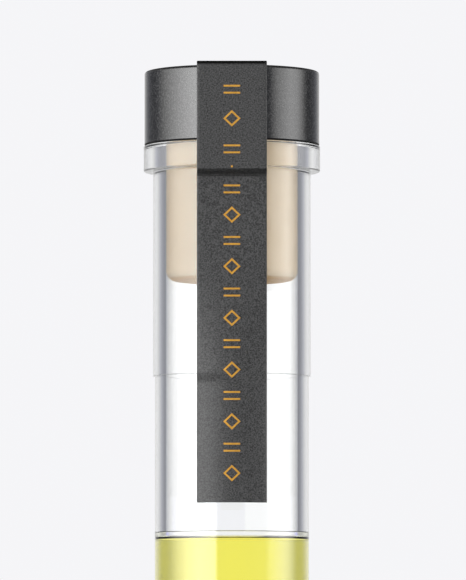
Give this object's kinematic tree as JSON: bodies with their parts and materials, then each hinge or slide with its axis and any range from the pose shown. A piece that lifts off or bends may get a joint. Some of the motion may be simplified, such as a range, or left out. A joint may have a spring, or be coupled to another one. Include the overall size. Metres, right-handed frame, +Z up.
{
  "type": "gold sample vial",
  "caption": "Flanged glass tube with a pull-out T-stopper held by a paper seal strip, filled with a tinted sample liquid over placer gold.",
  "frame": {"origin": "centre of the vial's foot, on the surface it stands on", "axes": "+Z up along the tube's axis towards the stopper, -Y towards the front tail of the seal strip, +X to its right"},
  "size_m": [0.0184, 0.0188, 0.1281],
  "materials": {
    "clear_glass": "clear, fire-polished",
    "black_satin": "satin black, fine-grained",
    "insert_plastic": "matt moulded",
    "plug_elastomer": "matt",
    "seal_paper": "matt dark grey paper with fine speckle",
    "sample_liquid": "clear yellow-green liquid",
    "placer_gold": "bright, water-worn"
  },
  "bodies": {
    "vial": {"vial_body": "clear_glass", "seal_strip_front": "seal_paper", "seal_strip_back": "seal_paper", "sample_liquid": "sample_liquid", "gold_flakes": "placer_gold", "gold_pickers": "placer_gold"},
    "stopper": {"cap_shell": "black_satin", "cap_core": "insert_plastic", "stopper_plug": "plug_elastomer", "seal_strip_cap": "seal_paper"}
  },
  "joints": [
    {"name": "stopper_pull", "type": "slide", "parent": "vial", "child": "stopper", "axis": [0, 0, 1], "range_m": [0, 0.03]}
  ]
}
